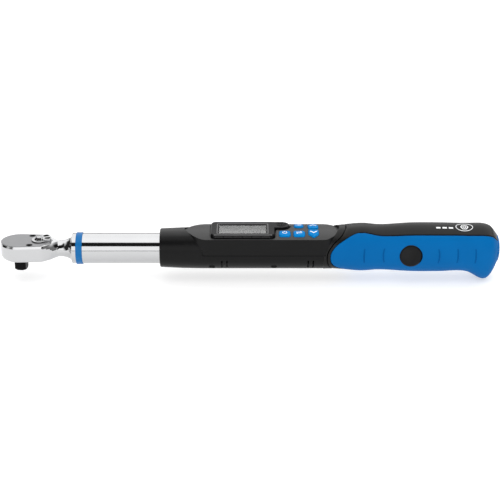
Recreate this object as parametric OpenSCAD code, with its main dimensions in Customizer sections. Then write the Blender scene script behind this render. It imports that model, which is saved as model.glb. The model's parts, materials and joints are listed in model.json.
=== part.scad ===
// Electronic torque wrench with a 3/8 inch square drive.
// Each part is drawn about the tube's axis, with +X from the head to the handle and +Z out of the
// display. on_axis() then lifts it, so that the origin is the centre of the square drive at the
// height where a socket seats against the head.

/* [Drive] */
// Square drive, across its flats
drive_af = 9.525; // [9.4:0.005:9.6]
// Length of the square below the head
drive_len = 11.5; // [10:0.5:13]
// Turn of the square about its own axis at rest, in degrees
drive_turn = -7; // [-20:1:20]
// Teeth on the ratchet gear, a multiple of 12
gear_teeth = 36; // [24:12:72]

/* [Head] */
// Radius of the round end of the head
head_r = 16.3; // [15.5:0.1:17]
// Height of the body's top face above the tube's axis
head_top = 5.6; // [5:0.1:6]
// Depth of the head's underside below the tube's axis
head_bottom = 6.5; // [6:0.1:7]
// Thickness of the cover plate
plate_t = 1.5; // [1:0.1:2]
// Distance from the drive's axis to the reversing lever's axis
lever_x = 16; // [15.5:0.1:16.5]
// Radius of the neck
neck_r = 6.85; // [6.6:0.05:7.1]
// Turn of the reversing lever at rest, at one end of its travel, in degrees
lever_rest = 20; // [15:1:25]

/* [Tube] */
// Outside diameter of the tube
tube_d = 25.4; // [24:0.1:26]
// Wall of the tube
tube_wall = 1.7; // [1:0.1:2]
// Where the tube starts
tube_x = 43.4; // [43.2:0.1:44]
// Width of the coloured band
band_w = 5.4; // [3:0.1:8]

/* [Housing] */
// Half of the upper housing's width
housing_y = 17.6; // [17.4:0.1:18]
// Radius of the lower housing
housing_r = 17.3; // [17:0.1:17.4]
// Wall of both housings
housing_wall = 2; // [1.5:0.1:2.5]
// Left end of the upper housing
panel_x0 = 137; // [136:0.1:139]
// Right end of the upper housing
panel_x1 = 265.4; // [264:0.1:267]
// Height of the panel's middle above the tube's axis
panel_z = 16.6; // [16:0.1:17]
// How far the display's bezel stands above the panel's middle
bezel_proud = 1.6; // [1:0.1:2]

/* [Keys] */
// Distance between the columns of keys
key_pitch = 11.9; // [11.5:0.1:12.5]
// Width of a key
key_w = 9.8; // [9:0.1:10]
// How far a key moves when it is pressed
key_travel = 0.8; // [0.4:0.1:0.8]

/* [Handle] */
// Thickness of the rubber grip
grip_t = 2.6; // [2:0.1:3]
// Half of the handle's width over its half height
handle_flat = 0.955; // [0.9:0.005:1]
// Where the hand's load acts, from the drive's axis
load_x = 324; // [320:1:328]
// Diameter of the plug over the load pin
plug_d = 19; // [16:0.5:20]

/* [Hidden] */
$fn = 96;
hull_fn = 32;
eps = 0.01;
chrome = [0.8, 0.81, 0.83];
steel = [0.62, 0.63, 0.65];
black_oxide = [0.09, 0.09, 0.1];
black_plastic = [0.14, 0.14, 0.15];
blue_rubber = [0.0, 0.41, 0.71];
blue_key = [0.05, 0.53, 0.9];
blue_band = [0.2, 0.45, 0.75];

// Running clearance, radial
run_gap = 0.05;
tube_r = tube_d / 2;
tube_bore_r = tube_r - tube_wall;
plate_top = head_top + plate_t;
cover_screw_at = [9.1, 10.15];

// Ratchet
gear_r = 10.9;
tooth_h = 0.9;
gear_z0 = -4.4;
gear_z1 = 4.9;
journal_r = 9;
pocket_r = gear_r + 0.35;
pawl_swing = 7;
pawl_hub_r = 4.7;
pawl_reach = 10.6;
stem_r = 3.4;
lever_stem_r = 4;
detent_r = 1.6;
detent_z = -head_bottom - drive_len / 2;
detent_proud = 0.6;

// Beam through the tube and the handle
beam_y = 10;
beam_z = 14;
beam_x0 = 50;
beam_x1 = load_x + 9;
spigot_x1 = 70;
beam_pin_x = [56, 64];
gauge_x = 90;
waist_y = 3;

// Housing
sleeve_x0 = 116.8;
tube_x1 = 150;
lower_x1 = 252;
crown_r = 80;
nose_a0 = 19;
nose_a1 = 14;
nose_power = 1.44;
seam_h = 0.55;
seam_depth = 0.8;
gap_w = 0.8;
gap_depth = 1;
cavity_z = 12.6;
board_z = 9;
board_t = 1.4;
bezel_x0 = 159;
bezel_x1 = 212.4;
bezel_near = 15.6;
bezel_far = 14.4;
bezel_top = panel_z + bezel_proud;
glass_top = bezel_top - 0.4;
lobe_at = [217.7, 7.6];
lobe_r = 7;
window_x0 = 166;
window_x1 = 204.7;
window_near = 11.4;
window_far = 7.5;
grille_r = 5.3;
screw_at = [[160, 12.2], [160, -12.2], [211.4, 12.2], [211.4, -12.2]];
roof_z = 14;
slot_x = [168.3, 172.5, 239.6, 243.8];
slot_w = 1.25;
slot_z = [-12.6, -4.4];
slot_depth = 3;
// How far the lower housing's outside lies above the tube's axis
shell_lift = 0.5;

// Keys: the columns' places and the near row's centre
key_x = [220.2, 220.2 + key_pitch, 220.2 + 2 * key_pitch];
key_y = 8.55;
key_l = 9.9;
key_r = 2.4;
set_key_w = 8.4;
set_key_r = 3.2;
key_proud = 1.1;
key_gap = 0.15;

// Handle: stations along X, each with the upper and lower half height and the centre's height
handle_end = 396.4;
stations = [
  [250, 17.3, 17.3, shell_lift],
  [263, 17.9, 17.9, 1.3],
  [284, 19.8, 19.8, 1.5],
  [299, 19.0, 19.0, 1.6],
  [326, 20.5, 20.5, 1.7],
  [350, 20.5, 20.5, 1.7],
  [371, 20.2, 20.3, 1.6],
  [384, 20.3, 27.0, 1.5],
  [388, 19.6, 27.2, 1.4],
  [391, 18.6, 24.6, 1.2],
  [394, 15.9, 19.0, 0.8],
  [handle_end, 12.7, 13.0, 0.4]
];
// Where the blue grip starts, as [angle from the top, X]
grip_front = [
  [30, 282], [39, 275], [50, 269.6], [63, 263.6], [77, 259.6], [90, 257.6],
  [103, 257.5], [117, 258.5], [131, 261.2], [144, 265], [180, 273]
];
// Where the black handle starts behind the collar, as [angle from the top, X]
collar_edge = [[0, 271], [14, 270.7], [39, 267.3], [60, 261], [82, 256.4], [98, 255.5], [120, 256.4], [180, 262]];
// Upper edge of the grip, as [X, angle from the top]
grip_edge = [[272, 32], [286, 32], [299, 40], [326, 41], [handle_end, 41]];
section_power = 2.15;
plug_z = 0.7;
battery_bore_r = 11.5;
carrier_r = 11.2;
carrier_x0 = 341;
carrier_x1 = 387;
battery_z = 0.4;
cell_d = 10.4;
cell_l = 43.6;
cap_lift = 4;

// The value at x of a smooth curve through a table of pairs
function slope_at(table, i) =
  i == 0 || i == len(table) - 1 ? 0
  : (table[i + 1][1] - table[i - 1][1]) / (table[i + 1][0] - table[i - 1][0]);
function curve_at(x, table, i = 0) =
  x <= table[0][0] ? table[0][1]
  : i >= len(table) - 1 ? table[len(table) - 1][1]
  : x <= table[i + 1][0]
    ? let (w = table[i + 1][0] - table[i][0], f = (x - table[i][0]) / w, g = f - 1)
      table[i][1] * (1 + 2 * f) * g * g + slope_at(table, i) * w * f * g * g
      + table[i + 1][1] * f * f * (3 - 2 * f) + slope_at(table, i + 1) * w * f * f * g
    : curve_at(x, table, i + 1);
function column(table, c) = [for (row = table) [row[0], row[c]]];
// Half width over half height, as [X, ratio]
flatness = [[256, 1], [290, handle_flat], [handle_end, handle_flat + 0.02]];
upper_heights = column(stations, 1);
lower_heights = column(stations, 2);
centre_heights = column(stations, 3);

// Angle on a circle to the same place on a section with slightly squared shoulders
function squared(v) = sign(v) * pow(abs(v), 2 / section_power);
// Point of the handle's surface at x, at angle t from the top, a depth below the surface
function skin(x, t, depth = 0) =
  let (up = curve_at(x, upper_heights) - depth,
       low = curve_at(x, lower_heights) - depth,
       wide = (min(up, low) + depth) * curve_at(x, flatness) - depth,
       c = cos(t))
  [x, wide * squared(sin(t)), curve_at(x, centre_heights) + (c > 0 ? up : low) * squared(c)];

// Angle of the grip's upper edge at x
function edge_angle(x) = curve_at(x, grip_edge);
// Even steps from a to b
function steps(a, b, n) = [for (i = [0:n]) a + (b - a) * i / n];
// Distance round from the top, from 0 to 180, of an angle from 0 to 360
function from_top(t) = t > 180 ? 360 - t : t;

// Triangles of a band between two loops of n points, numbered from a and b
function band_faces(a, b, n) =
  [for (j = [0:n - 1]) let (k = (j + 1) % n) each [[a + j, b + j, b + k], [a + j, b + k, a + k]]];
// A closed solid through loops of points, with flat or cone-like ends
module lofted(loops, end0, end1) {
  n = len(loops[0]);
  m = len(loops);
  points = [each [for (l = loops) each l], end0, end1];
  sides = [for (i = [0:m - 2]) each band_faces(i * n, (i + 1) * n, n)];
  cap0 = [for (j = [0:n - 1]) [n * m, j, (j + 1) % n]];
  cap1 = [for (j = [0:n - 1]) [n * m + 1, (m - 1) * n + (j + 1) % n, (m - 1) * n + j]];
  polyhedron(points, concat(sides, cap0, cap1));
}
// A closed solid through loops of 2 * k points, where each loop is an open strip's outside and
// then its inside in reverse, and the ends are closed strip by strip
module lofted_strip(loops) {
  n = len(loops[0]);
  m = len(loops);
  k = n / 2;
  points = [for (l = loops) each l];
  sides = [for (i = [0:m - 2]) each band_faces(i * n, (i + 1) * n, n)];
  cap0 = [for (j = [0:k - 2]) each [[j, j + 1, n - 2 - j], [j, n - 2 - j, n - 1 - j]]];
  o = (m - 1) * n;
  cap1 = [for (j = [0:k - 2]) each [[o + j, o + n - 2 - j, o + j + 1], [o + j, o + n - 1 - j, o + n - 2 - j]]];
  polyhedron(points, concat(sides, cap0, cap1));
}

// A cylinder along +X
module rod_x(r, x0, x1, y = 0, z = 0) {
  translate([x0, y, z]) rotate([0, 90, 0]) cylinder(r = r, h = x1 - x0);
}
// A cylinder along +Y
module rod_y(r, y0, y1, x, z) {
  translate([x, y0, z]) rotate([-90, 0, 0]) cylinder(r = r, h = y1 - y0);
}
module box(x, y, z) {
  translate([x[0], y[0], z[0]]) cube([x[1] - x[0], y[1] - y[0], z[1] - z[0]]);
}
// A solid of revolution about X from points [x, radius]
module turned_x(points) {
  rotate([90, 0, 90]) rotate_extrude() polygon([for (p = points) [p[1], p[0]]]);
}
// A coil about +Z, from its foot
module coil(r, wire, pitch, turns) {
  per = 14;
  n = per * turns;
  sides = 6;
  loops = [for (i = [0:n]) let (a = 360 * i / per)
    [for (j = [0:sides - 1]) let (q = -360 * j / sides)
      [(r + wire * cos(q)) * cos(a), (r + wire * cos(q)) * sin(a), wire + pitch * i / per + wire * sin(q)]]];
  end0 = [r, 0, wire];
  end1 = [r * cos(360 * turns), r * sin(360 * turns), wire + pitch * turns];
  lofted(loops, end0, end1);
}
module rounded_rect(size, r) {
  hull() for (x = [-1, 1], y = [-1, 1]) translate([x * (size[0] / 2 - r), y * (size[1] / 2 - r)]) circle(r, $fn = hull_fn);
}
// Lifts a part from the tube's axis to the part's own frame
module on_axis() {
  translate([0, 0, head_bottom]) children();
}

// ---- Head ----
// Seen from above the body and its cover are each a round end, two lugs and a tip, joined by their
// tangents, as [tip's x, tip's radius, lug's x, lug's y, lug's radius]
body_shape = [29, 6.85, 17.6, 9.6, 5.6];
plate_shape = [22, 5.8, 17.3, 10.9, 3.8];
// How far the body swells about the tube's axis, as [x, radius]: it closes in on the neck
swell = [[10, 20], [16, 18.2], [20, 16.4], [23, 13.8], [24.6, 12.5], [26.2, 10.8], [28, 9.1], [30.4, 7.65], [33, neck_r - 0.06]];
// Two flats along each shoulder of the neck, as [angle of the normal from the top, distance over radius]
shoulder_flats = [[57, 0.92], [38, 0.905]];
plate_half = 13.9;
plate_gap = 0.06;
plate_inset = 0.8;
plate_narrow = 1.4;
rim_z = plate_top - 0.3;
// Direction of the tangent's normal from the round end to a lug, and from a lug to the tip
function lug_angle(s) = atan2(s[3], s[2]) + acos((head_r - s[4]) / norm([s[2], s[3]]));
function tip_angle(s) = atan2(-s[3], s[0] - s[2]) + acos((s[4] - s[1]) / norm([s[0] - s[2], s[3]]));
function arc(x, y, r, a0, a1, n) = [for (a = steps(a0, a1, n)) [x + r * cos(a), y + r * sin(a)]];
// Points between the lug and the tip on their tangent
function tangent_points(s, inset, n) =
  let (a = tip_angle(s), d = [cos(a), sin(a)],
       p = [s[2], s[3]] + (s[4] - inset) * d, q = [s[0], 0] + (s[1] - inset) * d)
  [for (f = steps(0, 1, n)) if (f > 0 && f < 1) q + (p - q) * f];
function mirrored(points) = [for (i = [len(points) - 1:-1:0]) [points[i][0], -points[i][1]]];
// The outline, a distance inside its widest line, then narrowed at the sides and at the front
function head_points(s, inset, narrow = 0, front = 0) =
  let (half = concat(
    [for (p = arc(s[0], 0, s[1] - inset, 0, tip_angle(s), 4)) if (p[1] > eps) p],
    tangent_points(s, inset, 9),
    arc(s[2], s[3], s[4] - inset, tip_angle(s), lug_angle(s), 6),
    [for (p = arc(0, 0, head_r - inset, lug_angle(s), 180, 16)) if (p[1] > eps) p]))
  [for (p = concat([[s[0] + s[1] - inset, 0]], half, [[inset - head_r, 0]], mirrored(half)))
    [p[0] * (1 - (p[0] < 0 ? front : 0) / head_r), p[1] * (1 - narrow / head_r)]];
function within(v, limit) = sign(v) * min(abs(v), limit);
// Half width of the swelling body of radius r at height z
function swell_width(r, z) = min(
  sqrt(max(0.04, r * r - z * z)),
  z > 0 ? min([for (f = shoulder_flats) (f[1] * r - z * cos(f[0])) / sin(f[0])]) : r);
module body_levels(levels) {
  loops = [for (l = levels) [for (p = head_points(body_shape, l[1], l[2], l[3]))
    [p[0], within(p[1], max(0.2, swell_width(curve_at(p[0], swell), l[0]))), l[0]]]];
  lofted(loops, [lever_x / 2, 0, levels[0][0]], [lever_x / 2, 0, levels[len(levels) - 1][0]]);
}
function plate_points(grow, top = 0) =
  [for (p = head_points(plate_shape, plate_inset + top - grow, plate_narrow)) [p[0], within(p[1], plate_half - top + grow)]];
flare_x = 33;
flare_r = tube_r - 0.65;
function neck_radius(x) =
  x <= flare_x ? curve_at(x, [[12, 5.6], [20, 6.1], [24, 6.3], [27, 6.75], [30, 6.95], [flare_x, neck_r]])
  : neck_r + (flare_r - neck_r) * (1 - sqrt(max(0, 1 - pow((x - flare_x) / (tube_x - flare_x), 2))));
// Radius of the neck's section at angle t from the top over its largest radius
function neck_shape(t) =
  min([1, for (f = shoulder_flats) if (abs(from_top(t) - f[0]) < 60) f[1] / cos(from_top(t) - f[0])]);
half_turn = [0, 12.5, 31, 50, 65, for (t = [80:10:180]) t];
neck_angles = concat(half_turn, [for (i = [len(half_turn) - 2:-1:1]) 360 - half_turn[i]]);
module neck() {
  xs = concat([12, 20, 24, 27, 30, flare_x], [for (a = steps(12, 84, 8)) flare_x + (tube_x - flare_x) * sin(a)], [tube_x]);
  loops = [for (x = xs) [for (t = neck_angles)
    let (r = neck_radius(x) * (1 - curve_at(x, [[35, 1], [42, 0]]) * (1 - neck_shape(t))))
    [x, -r * sin(t), r * cos(t)]]];
  lofted(loops, [xs[0], 0, 0], [tube_x, 0, 0]);
  rod_x(tube_bore_r - run_gap, tube_x - 0.05, spigot_x1);
}
module head_body() {
  color(chrome) difference() {
    union() {
      body_levels([
        [-head_bottom, 1.1, 0, 2.3], [-head_bottom + 0.3, 0.45, 0, 1.6], [-head_bottom + 1.1, 0.05, 0, 0.7],
        [-head_bottom + 2.1, 0, 0, 0.2], [-head_bottom + 3.2, 0, 0, 0], [0, 0, 0, 0], [1.4, 0, 0, 0], [2.8, 0, 0, 0],
        [4.1, 0, 0, 0], [head_top - 0.2, 0, 0, 0], [rim_z, 0.5, 1.3, 0]
      ]);
      neck();
    }
    translate([0, 0, head_top]) linear_extrude(10) polygon(plate_points(plate_gap));
    translate([0, 0, gear_z0 - 0.1]) cylinder(r = pocket_r, h = 20);
    translate([0, 0, -10]) cylinder(r = journal_r, h = 20);
    translate([lever_x, 0, -4.5]) cylinder(r = pawl_hub_r + 0.3, h = 20);
    intersection() {
      translate([lever_x, 0, -4.5]) cylinder(r = pawl_reach + 0.3, h = 20);
      box([0, lever_x + 1.5], [-9.6, 9.6], [-4.5, 20]);
    }
    box([beam_x0 - 0.5, spigot_x1 + 1], [-beam_y / 2, beam_y / 2], [-beam_z / 2, beam_z / 2]);
    for (x = beam_pin_x) rod_y(2, -20, 20, x, 0);
    for (s = [-1, 1]) translate([cover_screw_at[0], s * cover_screw_at[1], head_top - 3]) cylinder(r = 1, h = 4);
  }
}
module cover_plate() {
  levels = [[head_top, 0], [plate_top - 0.25, 0], [plate_top, 0.25]];
  color(chrome) difference() {
    lofted([for (l = levels) [for (p = plate_points(0, l[1])) [p[0], p[1], l[0]]]],
      [lever_x / 2, 0, head_top], [lever_x / 2, 0, plate_top]);
    translate([lever_x, 0, 0]) cylinder(r = lever_stem_r + run_gap, h = 20);
    for (s = [-1, 1]) translate([cover_screw_at[0], s * cover_screw_at[1], 0]) {
      cylinder(r = 1.3, h = 20);
      translate([0, 0, plate_top - 1]) cylinder(r = 2.65, h = 5);
    }
  }
}
module cover_screws() {
  color(black_oxide) for (s = [-1, 1]) translate([cover_screw_at[0], s * cover_screw_at[1], 0]) difference() {
    union() {
      translate([0, 0, head_top - 2.9]) cylinder(r = 1, h = 3.5);
      translate([0, 0, head_top]) cylinder(r = 1.25, h = 1);
      translate([0, 0, plate_top - 1]) cylinder(r = 2.6, h = 0.75);
    }
    translate([0, 0, plate_top - 0.85]) cylinder(r = 1.5, h = 2, $fn = 6);
  }
}

// ---- Ratchet ----
// Outline of the gear; more than 0 in grow makes a cutter with clearance
module gear_outline(grow = 0) {
  polygon([for (i = [0:2 * gear_teeth - 1])
    let (a = 180 * i / gear_teeth, r = (i % 2 == 0 ? gear_r : gear_r - tooth_h) + grow)
    [r * cos(a), r * sin(a)]]);
}
module square_outline(af, corner) {
  c = af / 2 - corner;
  for (s = [0, 90]) rotate(s) square([af, 2 * c], center = true);
  for (x = [-c, c], y = [-c, c]) translate([x, y]) circle(corner, $fn = 48);
}
module drive_gear() {
  tip = 1;
  color(black_oxide) difference() {
    union() {
      translate([0, 0, gear_z0]) linear_extrude(gear_z1 - gear_z0) gear_outline();
      translate([0, 0, gear_z1 - eps]) cylinder(r = 8, h = 0.6);
      translate([0, 0, -head_bottom]) cylinder(r = journal_r - run_gap, h = 4);
      rotate(drive_turn) translate([0, 0, -head_bottom - drive_len + tip])
        linear_extrude(drive_len) square_outline(drive_af, 0.9);
      rotate(drive_turn) intersection() {
        translate([0, 0, -head_bottom - drive_len]) linear_extrude(tip + 1) square_outline(drive_af, 0.9);
        translate([0, 0, -head_bottom - drive_len]) cylinder(r1 = drive_af / 2 + 0.3, r2 = drive_af / 2 + 3.3, h = 3);
      }
    }
    rotate(drive_turn) rod_y(detent_r + run_gap, 0.5, 20, 0, detent_z);
  }
}
module detent_ball() {
  color(steel) rotate(drive_turn)
    translate([0, drive_af / 2 - detent_r + detent_proud, detent_z]) sphere(detent_r);
}
module detent_spring() {
  color(steel) rotate(drive_turn) translate([0, 0.52, detent_z]) rotate([-90, 0, 0]) coil(1, 0.12, 0.33, 2);
}
// Turns what is drawn about the lever's axis
module about_lever(angle) {
  translate([lever_x, 0, 0]) rotate(angle) translate([-lever_x, 0, 0]) children();
}
// One end of the pawl's blank, on the side of s
module pawl_arm(s) {
  translate([0, 0, gear_z0 + 0.5]) linear_extrude(7.6) hull() {
    translate([lever_x, 0]) circle(pawl_hub_r - 0.1, $fn = hull_fn);
    translate([9.7, s * 6.9]) circle(1.3, $fn = hull_fn);
  }
}
// The pawl is level at mid-swing; its teeth keep clear of the gear's over the whole swing
module pawl() {
  mesh_gap = 0.12;
  toothed_y = 5.2;
  color(steel) about_lever(pawl_swing) difference() {
    union() {
      pawl_arm(1);
      pawl_arm(-1);
    }
    translate([lever_x, 0, -10]) cylinder(r = stem_r + run_gap, h = 20);
    translate([0, 0, -10]) linear_extrude(20) intersection() {
      circle(gear_r + 0.75);
      square([60, 2 * toothed_y], center = true);
    }
    for (s = [-1, 1]) intersection() {
      translate([0, 0, -10]) linear_extrude(20)
        for (f = steps(0, 1, 4)) about_lever(-s * f * pawl_swing) gear_outline(mesh_gap);
      translate([-20, s > 0 ? 0 : -20, -20]) cube([40, 20, 40]);
    }
  }
}
// The lever's cap: a disc, a hub with a dome, and a broad thumb piece
module lever_cap() {
  disc_r = 6.5;
  disc_t = 0.9;
  hub_r = 4;
  dome_r = 2.6;
  dome_z = 2.75;
  translate([lever_x, 0, plate_top + 0.1]) rotate_extrude() polygon([
    [0, 0], [disc_r - 0.2, 0], [disc_r, 0.2], [disc_r, disc_t - 0.3], [disc_r - 0.3, disc_t], [hub_r, disc_t],
    for (a = steps(0, 90, 6)) [dome_r * cos(a), dome_z + 0.75 * sin(a)]
  ]);
  translate([lever_x, 0, plate_top + 0.1]) linear_extrude(2.1) hull() {
    translate([3, 0]) square([1, 10.4], center = true);
    for (s = [-1, 1]) translate([7.3, s * 3.5]) circle(2.2, $fn = hull_fn);
    translate([8.4, 0]) circle(1.9, $fn = hull_fn);
  }
}
recess_z = plate_top + 0.8;
module reversing_lever() {
  color(chrome) about_lever(lever_rest) difference() {
    union() {
      translate([lever_x, 0, gear_z0]) cylinder(r = stem_r, h = 10);
      translate([lever_x, 0, head_top - 0.1]) cylinder(r = lever_stem_r, h = 2);
      lever_cap();
    }
    for (s = [-1, 1]) translate([lever_x, 0, recess_z]) linear_extrude(3) hull() {
      translate([5.6, s * 2.5]) circle(1.6, $fn = hull_fn);
      translate([7.4, s * 2.7]) circle(1.7, $fn = hull_fn);
      translate([6.9, s * 3.3]) circle(1.6, $fn = hull_fn);
    }
    translate([lever_x - 0.6, 0, 0]) rotate([0, 90, 0]) cylinder(r = 1.15 + run_gap, h = 10);
  }
}
// The sprung pin that the lever's stem pushes against the pawl's back
module pawl_plunger() {
  color(steel) about_lever(lever_rest) translate([lever_x + 1.3, 0, 0]) rotate([0, 90, 0]) {
    cylinder(r = 1.15, h = 1.5);
    translate([0, 0, 1.5]) cylinder(r1 = 1.15, r2 = 0.6, h = 0.4);
  }
}
module pawl_spring() {
  color(steel) about_lever(lever_rest) translate([lever_x - 0.58, 0, 0]) rotate([0, 90, 0]) coil(0.8, 0.15, 0.5, 3);
}

// ---- Tube and beam ----
module tube() {
  color(chrome) turned_x([
    [tube_x, tube_bore_r], [tube_x, tube_r - 0.5], [tube_x + 0.25, tube_r - 0.15], [tube_x + 0.7, tube_r],
    [tube_x1, tube_r], [tube_x1, tube_bore_r]
  ]);
}
module colour_band() {
  x0 = tube_x + 3.7;
  color(blue_band) turned_x([
    [x0, tube_r], [x0, tube_r + 0.4], [x0 + 0.35, tube_r + 0.65],
    [x0 + band_w - 0.35, tube_r + 0.65], [x0 + band_w, tube_r + 0.4], [x0 + band_w, tube_r]
  ]);
}
module flex_beam() {
  color(steel) difference() {
    union() {
      box([beam_x0, load_x], [-beam_y / 2, beam_y / 2], [-beam_z / 2, beam_z / 2]);
      translate([0, 0, plug_z]) rod_y(9, -beam_y / 2, beam_y / 2, load_x, 0);
      box([load_x - 12, load_x], [-beam_y / 2, beam_y / 2], [plug_z - 9, plug_z + 9]);
    }
    for (x = beam_pin_x) rod_y(2, -20, 20, x, 0);
    rod_y(4, -20, 20, load_x, plug_z);
    for (s = [-1, 1]) {
      translate([gauge_x, s * (waist_y + 5), 0]) cube([14, 10, 20], center = true);
      for (e = [-7, 7]) translate([gauge_x + e, s * (waist_y + 3), 0]) cylinder(r = 3, h = 20, center = true);
    }
  }
}
module beam_pins() {
  color(steel) for (x = beam_pin_x) rod_y(2, -10.6, 10.6, x, 0);
}
module strain_gauges() {
  color("darkorange") for (s = [-1, 1]) translate([gauge_x, s * (waist_y + 0.15), 0]) cube([8, 0.3, 8], center = true);
}
module gauge_lead() {
  color("darkred") {
    rod_x(0.9, 95.5, 158, 0, beam_z / 2 + 0.95);
    translate([158, 0, beam_z / 2 + 0.35]) cylinder(r = 0.9, h = board_z - beam_z / 2 - 0.35);
  }
}

// ---- Housing ----
// Outline of the upper housing, a distance inside: a bluntly pointed left end and a round right end
module panel_outline(inset) {
  y = housing_y - inset;
  la = nose_a0 - 1.14 * inset;
  lb = nose_a1 - inset;
  xa = panel_x0 + nose_a0;
  xb = panel_x1 - nose_a1;
  left = [for (t = steps(0, 1, 16)) [xa - la * t, y * (1 - t * t)]];
  polygon(concat(
    left,
    [for (i = [15:-1:0]) [left[i][0], -left[i][1]]],
    [for (a = steps(-90, 90, 28)) [xb + lb * cos(a), sign(a) * y * pow(abs(sin(a)), nose_power)]]
  ));
}
// Everything under the crowned panel, a distance below it
module under_crown(depth) {
  rod_x(crown_r - depth, 100, 300, 0, panel_z - crown_r, $fn = 240);
}
module screw_posts(r, z0, z1) {
  for (p = screw_at) translate([p[0], p[1], z0]) cylinder(r = r, h = z1 - z0);
}
module key_outline(grow) {
  rounded_rect([key_w + 2 * grow, key_l + 2 * grow], key_r + grow);
}
module set_key_outline(grow) {
  rounded_rect([set_key_w + 2 * grow, key_l + 2 * grow], set_key_r + grow);
}
// Outline of the down key, which points to the near side; the up key is its mirror image
module arrow_outline(grow) {
  hull() {
    for (x = [-1, 1]) {
      translate([x * 2.9, -2.6]) circle(1.5 + grow, $fn = hull_fn);
      translate([x * 3.1, -9.3]) circle(1.4 + grow, $fn = hull_fn);
    }
    translate([0, -12.6]) circle(1.8 + grow, $fn = hull_fn);
  }
}
module key_hole_outlines(grow) {
  for (x = [key_x[0], key_x[1]]) translate([x, -key_y]) key_outline(grow);
  translate([key_x[1], key_y]) set_key_outline(grow);
  translate([key_x[2], 0]) arrow_outline(grow);
  translate([key_x[2], 0]) mirror([0, 1]) arrow_outline(grow);
}
module lower_housing() {
  wall_r = housing_r - housing_wall;
  color(black_plastic) {
    difference() {
      translate([0, 0, shell_lift]) turned_x([
        [sleeve_x0, 0], [sleeve_x0, 15.6], [sleeve_x0 + 0.3, 16], [sleeve_x0 + 0.9, 16.2],
        [136, 17.05], [150, housing_r], [lower_x1, housing_r], [lower_x1, 0]
      ]);
      rod_x(tube_r + 0.02, sleeve_x0 - 1, tube_x1);
      rod_x(tube_bore_r - 1, sleeve_x0 - 1, tube_x1 + 3);
      translate([0, 0, shell_lift]) rod_x(wall_r, tube_x1 + 2, lower_x1 + 1);
      box([tube_x1 + 2, lower_x1 + 1], [-20, 20], [0, 20]);
      box([tube_x1 - 2, tube_x1 + 3], [-5.2, 5.2], [-7.2, 9.5]);
      translate([0, 0, roof_z]) linear_extrude(10) panel_outline(-0.1);
      difference() {
        for (x = slot_x) box([x - slot_w / 2, x + slot_w / 2], [-20, 20], slot_z);
        rod_x(housing_r - slot_depth, 100, 300);
      }
      screw_posts(2.6, -20, -7.5);
      screw_posts(1.3, -20, 2);
    }
    difference() {
      intersection() {
        screw_posts(3.2, -15.6, -0.02);
        translate([0, 0, shell_lift]) rod_x(wall_r + 0.5, 100, 300);
      }
      screw_posts(2.6, -20, -7.5);
      screw_posts(1.3, -20, 2);
    }
  }
}
module upper_housing() {
  color(black_plastic) {
    difference() {
      intersection() {
        linear_extrude(20) panel_outline(0);
        under_crown(0);
      }
      translate([0, 0, -1]) linear_extrude(cavity_z + 1) panel_outline(housing_wall);
      intersection() {
        translate([0, 0, shell_lift]) rod_x(housing_r + 0.06, 130, tube_x1 + 2.2);
        box([130, 160], [-20, 20], [-1, roof_z + 0.05]);
      }
      rod_x(15, lower_x1 - 4, 270);
      box([bezel_x0 + 4.5, bezel_x1 - 4.4], [-window_near - 0.9, 11.1], [0, 30]);
      translate([lobe_at[0], lobe_at[1], 0]) cylinder(r = 4.7, h = 30);
      linear_extrude(30) key_hole_outlines(key_gap);
      difference() {
        translate([0, 0, cavity_z]) linear_extrude(10) bezel_outline(gap_w);
        under_crown(gap_depth);
      }
      difference() {
        translate([0, 0, -1]) linear_extrude(1 + seam_h) panel_outline(-2);
        translate([0, 0, -2]) linear_extrude(4) panel_outline(seam_depth);
      }
    }
    difference() {
      screw_posts(2.8, 0, cavity_z + 0.5);
      screw_posts(1.25, -1, 6);
      box([150, 251], [-14.05, 14.05], [board_z - 0.05, board_z + board_t + 0.05]);
    }
  }
}
module housing_screws() {
  color(steel) for (p = screw_at) translate([p[0], p[1], -9.5]) difference() {
    union() {
      cylinder(r = 2.3, h = 2);
      cylinder(r = 1.2, h = 14);
    }
    translate([0, 0, -1]) cylinder(r = 1.2, h = 2, $fn = 6);
  }
}
bezel_size = [bezel_x1 - bezel_x0, bezel_far + bezel_near];
bezel_mid = [(bezel_x0 + bezel_x1) / 2, (bezel_far - bezel_near) / 2];
bezel_corner = 4;
lobe_y = lobe_at[1] - 0.3;
lobe_outer = lobe_r - 0.07;
// Outline of the bezel and its speaker lobe
module bezel_outline(grow) {
  translate(bezel_mid) rounded_rect(bezel_size + 2 * [grow, grow], bezel_corner + grow);
  hull() for (x = [bezel_x1 - 9, lobe_at[0]]) translate([x, lobe_y]) circle(lobe_outer + grow, $fn = 64);
}
module window_box(grow, z0, z1) {
  box([window_x0 - grow, window_x1 + grow], [-window_near - grow, window_far + grow], [z0, z1]);
}
module bezel() {
  inset = 0.9;
  color([0.08, 0.08, 0.09]) difference() {
    union() {
      hull() {
        translate(concat(bezel_mid, cavity_z + 1)) linear_extrude(bezel_top - cavity_z - 2)
          rounded_rect(bezel_size, bezel_corner);
        translate(concat(bezel_mid, bezel_top - eps)) linear_extrude(eps)
          rounded_rect(bezel_size - 2 * [inset, inset], bezel_corner - 1);
      }
      hull() for (x = [bezel_x1 - 9, lobe_at[0]]) {
        translate([x, lobe_y, cavity_z + 0.9]) cylinder(r = lobe_outer, h = bezel_top - cavity_z - 1.97, $fn = 64);
        translate([x, lobe_y, bezel_top - 0.04]) cylinder(r = lobe_r - inset, h = eps, $fn = 64);
      }
    }
    under_crown(gap_depth);
    window_box(0.7, 10, glass_top);
    window_box(0, 10, 30);
    translate([lobe_at[0], lobe_at[1], bezel_top - 1]) cylinder(r = grille_r + 0.02, h = 5);
    translate([lobe_at[0], lobe_at[1], 10]) cylinder(r = 4.2, h = 20);
  }
}
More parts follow.
